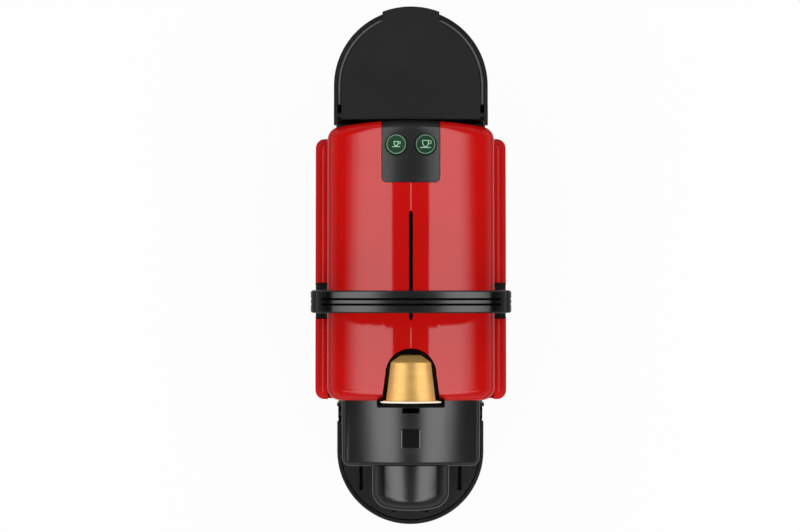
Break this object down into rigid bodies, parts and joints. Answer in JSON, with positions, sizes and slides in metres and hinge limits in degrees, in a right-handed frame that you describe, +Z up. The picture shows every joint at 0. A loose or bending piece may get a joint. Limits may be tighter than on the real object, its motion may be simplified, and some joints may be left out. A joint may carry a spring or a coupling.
{
  "type": "pod coffee machine",
  "caption": "Slim capsule coffee maker with an arched lever over a red shell, a pod slot, a lift-off water tank, a folding drip tray and a used pod container.",
  "frame": {"origin": "on the table, under the middle of the machine's outline", "axes": "+X to the machine's right, +Y towards the tank at the back, +Z up"},
  "size_m": [0.12, 0.323, 0.2725],
  "materials": {
    "red_shell": "high gloss",
    "black_plastic": "matte",
    "satin_black": "satin, finely grained",
    "gloss_black": "gloss",
    "lid_grey": "flat, finely grained",
    "button_green": "lit translucent",
    "pod_gold": "lacquered",
    "steel": "brushed",
    "rubber": "matte",
    "silicone": "milky",
    "frame_plastic": "matte",
    "board": "lacquered board",
    "heater_metal": "cast"
  },
  "bodies": {
    "chassis": {"right_side_cover": "red_shell", "left_side_cover": "red_shell", "top_cover": "red_shell", "right_lever_socket": "black_plastic", "left_lever_socket": "black_plastic", "pod_chute": "black_plastic", "control_panel": "satin_black", "control_board": "board", "button_switches": "black_plastic", "right_brew_plate": "frame_plastic", "left_brew_plate": "frame_plastic", "extraction_plate": "frame_plastic", "water_inlet": "frame_plastic", "brew_frame_mounts": "frame_plastic", "front_hood": "satin_black", "badge_plate": "gloss_black", "nose_shell": "satin_black", "coffee_outlet": "black_plastic", "right_frame": "frame_plastic", "left_frame": "frame_plastic", "rear_panel": "black_plastic", "front_panel": "satin_black", "base": "black_plastic", "cord_gland": "rubber", "front_right_foot": "rubber", "front_left_foot": "rubber", "rear_right_foot": "rubber", "rear_left_foot": "rubber", "pump": "steel", "pump_coil": "black_plastic", "pump_mounts": "rubber", "heater": "heater_metal", "heater_shelf": "steel", "power_board": "board", "board_posts": "frame_plastic", "flow_meter": "frame_plastic", "tank_coupling": "rubber", "tank_hose": "silicone", "pump_hose": "silicone", "heater_hose": "silicone", "brew_hose": "silicone", "coffee_duct": "black_plastic", "base_screws": "steel"},
    "lever": {"lever_handle": "gloss_black", "right_lever_shaft": "steel", "left_lever_shaft": "steel"},
    "brew_carriage": {"brew_cage": "frame_plastic", "carriage_pins": "steel", "piercing_blades": "steel"},
    "coffee_pod": {"pod": "pod_gold"},
    "short_cup_button": {"espresso_button": "button_green"},
    "long_cup_button": {"lungo_button": "button_green"},
    "water_tank": {"tank": "gloss_black", "tank_valve": "black_plastic"},
    "tank_cover": {"tank_lid": "lid_grey"},
    "container": {"pod_container": "satin_black"},
    "tray": {"drip_tray": "gloss_black", "drip_grid": "satin_black"}
  },
  "joints": [
    {"name": "lever_swing", "type": "hinge", "parent": "chassis", "child": "lever", "pos_m": [0, -0.0176, 0.188], "axis": [1, 0, 0], "range_deg": [0, 84]},
    {"name": "carriage_slide", "type": "slide", "parent": "chassis", "child": "brew_carriage", "axis": [0, -1, 0], "range_m": [0, 0.02883]},
    {"name": "pod_lift", "type": "slide", "parent": "chassis", "child": "coffee_pod", "axis": [0, 0, 1], "range_m": [0, 0.07]},
    {"name": "short_cup_press", "type": "slide", "parent": "chassis", "child": "short_cup_button", "axis": [0, -0.1045, -0.9945], "range_m": [0, 0.0015], "stiffness_N_per_m": 400},
    {"name": "long_cup_press", "type": "slide", "parent": "chassis", "child": "long_cup_button", "axis": [0, -0.1045, -0.9945], "range_m": [0, 0.0015], "stiffness_N_per_m": 400},
    {"name": "tank_lift", "type": "slide", "parent": "chassis", "child": "water_tank", "axis": [0, 0, 1], "range_m": [0, 0.2]},
    {"name": "lid_swing", "type": "hinge", "parent": "water_tank", "child": "tank_cover", "pos_m": [0, 0.0954, 0.2006], "axis": [1, 0, 0], "range_deg": [0, 80]},
    {"name": "container_slide", "type": "slide", "parent": "chassis", "child": "container", "axis": [0, -1, 0], "range_m": [0, 0.1]},
    {"name": "tray_fold", "type": "hinge", "parent": "container", "child": "tray", "pos_m": [0, -0.09, 0.044], "axis": [-1, 0, 0], "range_deg": [0, 90]}
  ],
  "couplings": [
    {"joint": "carriage_slide", "follows": "lever_swing", "m_per_rad": 0.019653}
  ]
}
